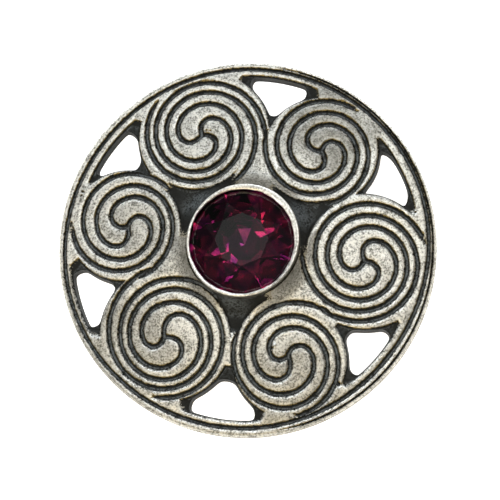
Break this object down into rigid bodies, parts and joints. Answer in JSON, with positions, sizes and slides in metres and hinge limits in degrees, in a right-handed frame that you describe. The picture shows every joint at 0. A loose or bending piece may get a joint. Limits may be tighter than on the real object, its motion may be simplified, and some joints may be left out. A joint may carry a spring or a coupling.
{
  "type": "celtic disc brooch",
  "caption": "Round domed pewter brooch with pierced spiral relief, a faceted purple glass stone in a central cup setting, and a plain pin bar behind.",
  "frame": {"origin": "centre of the model's box, on the surface that the feet of the pin bar stand on", "axes": "+Z out of the face through the stone, +Y up as the brooch is worn in the picture, +X to the right as the face is seen"},
  "size_m": [0.038, 0.038, 0.0104],
  "materials": {
    "cast_pewter": "antiqued cast pewter: worn pale ridges with a fine sandy grain, blue-black patina in the grooves",
    "polished_setting": "hand polished pale metal with fine scratches",
    "purple_glass": "faceted amethyst glass, foil-backed",
    "pin_steel": "plated steel, slightly dulled"
  },
  "bodies": {
    "root": {"disc": "cast_pewter", "setting": "polished_setting", "stone": "purple_glass", "pin_bar": "pin_steel"}
  },
  "joints": []
}
